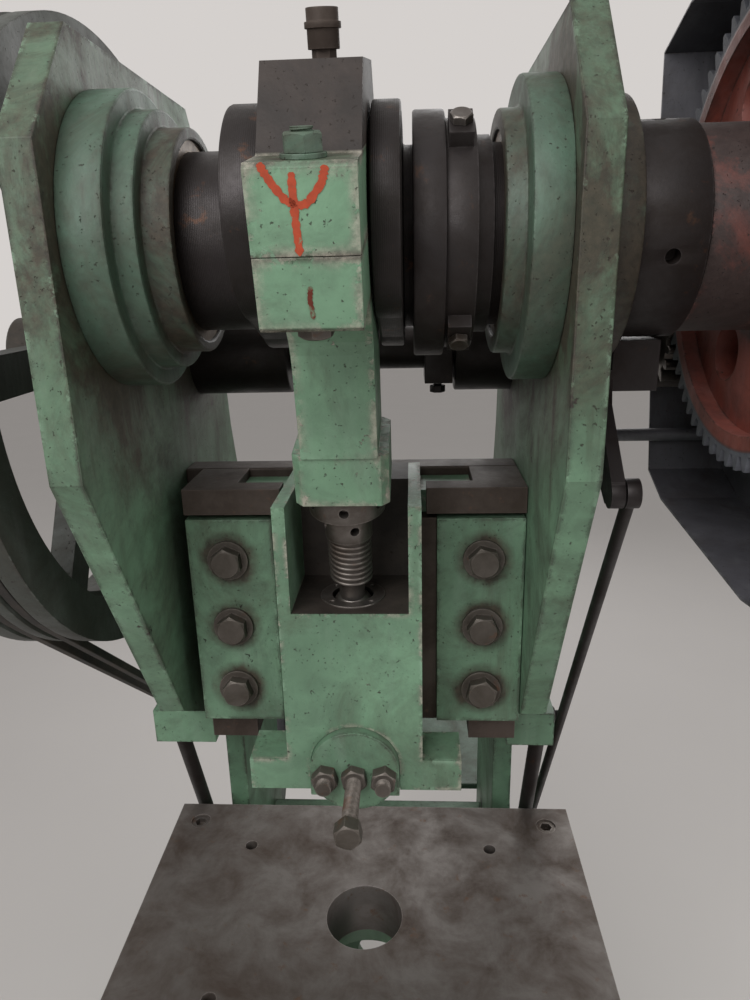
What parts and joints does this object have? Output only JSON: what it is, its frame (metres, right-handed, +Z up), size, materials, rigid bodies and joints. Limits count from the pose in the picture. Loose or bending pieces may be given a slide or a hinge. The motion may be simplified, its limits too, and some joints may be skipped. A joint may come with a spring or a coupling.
{
  "type": "mechanical stamping press",
  "caption": "Geared C-frame crank press whose connecting rod drives a guided ram over a drilled bolster, with flywheel, belt drive, gear guard and treadle trip.",
  "frame": {"origin": "on the floor at the middle of the four anchor bolts, in the ram's centre plane", "axes": "+X to the right, +Y to the back, +Z up"},
  "size_m": [0.905, 1.056, 1.881],
  "materials": {
    "green_paint": "worn gloss paint",
    "deep_green_paint": "worn gloss paint",
    "dark_iron": "dark and oily",
    "oily_iron": "brown and oily",
    "steel": "machined",
    "bronze": "dull",
    "red_paint": "worn primer red",
    "blue_grey_paint": "worn satin paint",
    "belt_rubber": "matt"
  },
  "bodies": {
    "frame": {"side_plate_left": "green_paint", "side_plate_right": "green_paint", "rear_webs": "green_paint", "feet": "deep_green_paint", "guide_back": "oily_iron", "guide_cheeks": "oily_iron", "gib_plate_left": "green_paint", "gib_plate_right": "green_paint", "gib_bolts": "dark_iron", "gib_strips": "oily_iron", "bed_plate": "green_paint", "bolster": "dark_iron", "bolster_screws": "steel", "tie_lugs": "green_paint", "tie_rods": "dark_iron", "tie_nuts": "dark_iron", "crank_bearing_left": "deep_green_paint", "crank_bearing_right": "deep_green_paint", "crank_bushes": "bronze", "back_sleeves": "dark_iron", "belts": "belt_rubber", "motor": "blue_grey_paint", "motor_shelf": "deep_green_paint", "gear_guard": "blue_grey_paint", "guard_mounts": "blue_grey_paint", "trip_bracket": "dark_iron", "return_spring": "steel"},
    "crank": {"crankshaft": "dark_iron", "stop_ring": "dark_iron", "clamp_ring": "dark_iron", "clamp_bolts": "steel", "clutch_collar": "blue_grey_paint", "crank_end_nut": "steel"},
    "rod": {"rod_body": "green_paint", "rod_cap": "green_paint", "rod_liner": "bronze", "cap_bolts": "steel", "oil_cup": "dark_iron", "adjusting_screw": "steel", "lock_nut": "steel"},
    "slide": {"ram": "green_paint", "ball_seat": "bronze", "seat_nut": "steel", "shank_cap": "oily_iron", "shank_studs": "steel", "shank_screw": "steel"},
    "gear": {"crank_gear": "red_paint", "gear_bush": "bronze"},
    "drive": {"back_shaft": "dark_iron", "pinion": "steel", "set_collar": "dark_iron", "flywheel": "blue_grey_paint"},
    "rotor": {"motor_shaft": "steel", "motor_pulley": "dark_iron"},
    "lever": {"trip_lever": "dark_iron"},
    "trip_link": {"trip_rod": "dark_iron"},
    "rocker_arm": {"rocker": "dark_iron"},
    "lower_link": {"lower_rod": "dark_iron"},
    "treadle_frame": {"treadle": "dark_iron"}
  },
  "joints": [
    {"name": "crank_spin", "type": "hinge", "parent": "frame", "child": "crank", "pos_m": [0, -0.204, 1.634], "axis": [-1, 0, 0], "range_deg": [-28, 8]},
    {"name": "rod_swing", "type": "hinge", "parent": "crank", "child": "rod", "pos_m": [0, -0.28869, 1.64893], "axis": [-1, 0, 0], "range_deg": [-8, 28]},
    {"name": "ram_slide", "type": "slide", "parent": "frame", "child": "slide", "axis": [0, 0, 1], "range_m": [-0.0415, 0.012]},
    {"name": "drive_spin", "type": "hinge", "parent": "frame", "child": "drive", "pos_m": [0, 0.02023, 1.519], "axis": [1, 0, 0], "continuous": true},
    {"name": "gear_spin", "type": "hinge", "parent": "frame", "child": "gear", "pos_m": [0.39, -0.204, 1.634], "axis": [1, 0, 0], "continuous": true},
    {"name": "motor_spin", "type": "hinge", "parent": "frame", "child": "rotor", "pos_m": [-0.34, 0.45, 0.758], "axis": [1, 0, 0], "continuous": true},
    {"name": "treadle_press", "type": "hinge", "parent": "frame", "child": "treadle_frame", "pos_m": [0, 0.26, 0.2], "axis": [1, 0, 0], "range_deg": [0, 7], "stiffness_Nm_per_rad": 150, "springref_deg": -17.19, "deforming": ["return_spring"]},
    {"name": "rocker_turn", "type": "hinge", "parent": "frame", "child": "rocker_arm", "pos_m": [0.22, 0.21, 0.69], "axis": [1, 0, 0], "range_deg": [0, 12.4]},
    {"name": "lower_rod_swing", "type": "hinge", "parent": "rocker_arm", "child": "lower_link", "pos_m": [0.232, 0.144, 0.69], "axis": [1, 0, 0], "range_deg": [-12.4, 0]},
    {"name": "trip_rod_swing", "type": "hinge", "parent": "rocker_arm", "child": "trip_link", "pos_m": [0.2495, 0.144, 0.69], "axis": [1, 0, 0], "range_deg": [-12.7, 0]},
    {"name": "lever_turn", "type": "hinge", "parent": "frame", "child": "lever", "pos_m": [0.236, -0.114, 1.47], "axis": [1, 0, 0], "range_deg": [0, 4.3]}
  ],
  "couplings": [
    {"joint": "rod_swing", "follows": "crank_spin", "ratio": -1},
    {"joint": "ram_slide", "follows": "crank_spin", "m_per_rad": 0.0845},
    {"joint": "gear_spin", "follows": "drive_spin", "ratio": -0.23529},
    {"joint": "motor_spin", "follows": "drive_spin", "ratio": 5.8983},
    {"joint": "rocker_turn", "follows": "treadle_press", "ratio": 1.7576},
    {"joint": "lower_rod_swing", "follows": "treadle_press", "ratio": -1.7576},
    {"joint": "trip_rod_swing", "follows": "treadle_press", "ratio": -1.7886},
    {"joint": "lever_turn", "follows": "treadle_press", "ratio": 0.598}
  ]
}
